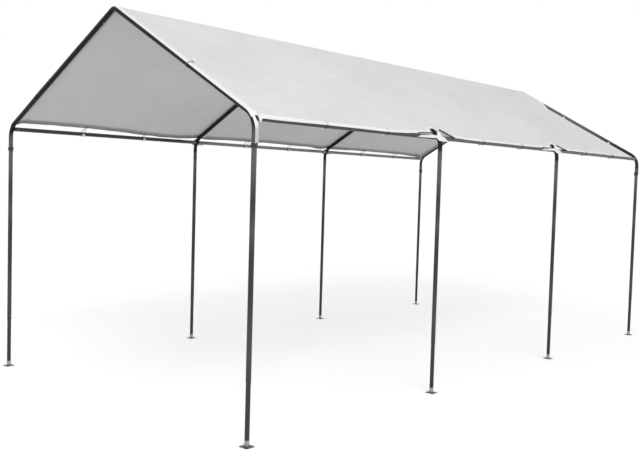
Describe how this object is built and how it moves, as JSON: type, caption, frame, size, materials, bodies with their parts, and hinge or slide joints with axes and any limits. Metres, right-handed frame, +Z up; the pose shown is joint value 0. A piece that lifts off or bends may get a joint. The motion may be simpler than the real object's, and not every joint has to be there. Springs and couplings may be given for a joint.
{
  "type": "canopy shelter",
  "caption": "Long free-standing canopy shelter: round tube gable frames on plated feet, tied by eave and ridge rails under a pitched fabric cover, open on all sides.",
  "frame": {"origin": "on the floor, at the middle of the plan", "axes": "+X across to the right-hand side, +Y along the shelter towards the rear gable, +Z up"},
  "size_m": [3.126, 6.176, 2.922],
  "materials": {
    "frame_steel": "satin powder coat",
    "foot_steel": "galvanised",
    "cover_fabric": "woven polyethylene, coated",
    "tie_plastic": "moulded ball on elastic cord"
  },
  "bodies": {
    "root": {"right_front_leg": "frame_steel", "right_second_leg": "frame_steel", "right_third_leg": "frame_steel", "right_rear_leg": "frame_steel", "left_front_leg": "frame_steel", "left_second_leg": "frame_steel", "left_third_leg": "frame_steel", "left_rear_leg": "frame_steel", "right_front_lower_leg": "frame_steel", "right_second_lower_leg": "frame_steel", "right_third_lower_leg": "frame_steel", "right_rear_lower_leg": "frame_steel", "left_front_lower_leg": "frame_steel", "left_second_lower_leg": "frame_steel", "left_third_lower_leg": "frame_steel", "left_rear_lower_leg": "frame_steel", "right_feet": "foot_steel", "left_feet": "foot_steel", "right_front_elbow": "frame_steel", "right_second_elbow": "frame_steel", "right_third_elbow": "frame_steel", "right_rear_elbow": "frame_steel", "left_front_elbow": "frame_steel", "left_second_elbow": "frame_steel", "left_third_elbow": "frame_steel", "left_rear_elbow": "frame_steel", "right_front_rafter": "frame_steel", "right_second_rafter": "frame_steel", "right_third_rafter": "frame_steel", "right_rear_rafter": "frame_steel", "left_front_rafter": "frame_steel", "left_second_rafter": "frame_steel", "left_third_rafter": "frame_steel", "left_rear_rafter": "frame_steel", "ridge_fittings": "frame_steel", "ridge_rails": "frame_steel", "right_front_eave_rail": "frame_steel", "right_middle_eave_rail": "frame_steel", "right_rear_eave_rail": "frame_steel", "left_front_eave_rail": "frame_steel", "left_middle_eave_rail": "frame_steel", "left_rear_eave_rail": "frame_steel", "cover": "cover_fabric", "cover_hems": "cover_fabric", "cover_ties": "tie_plastic"}
  },
  "joints": []
}
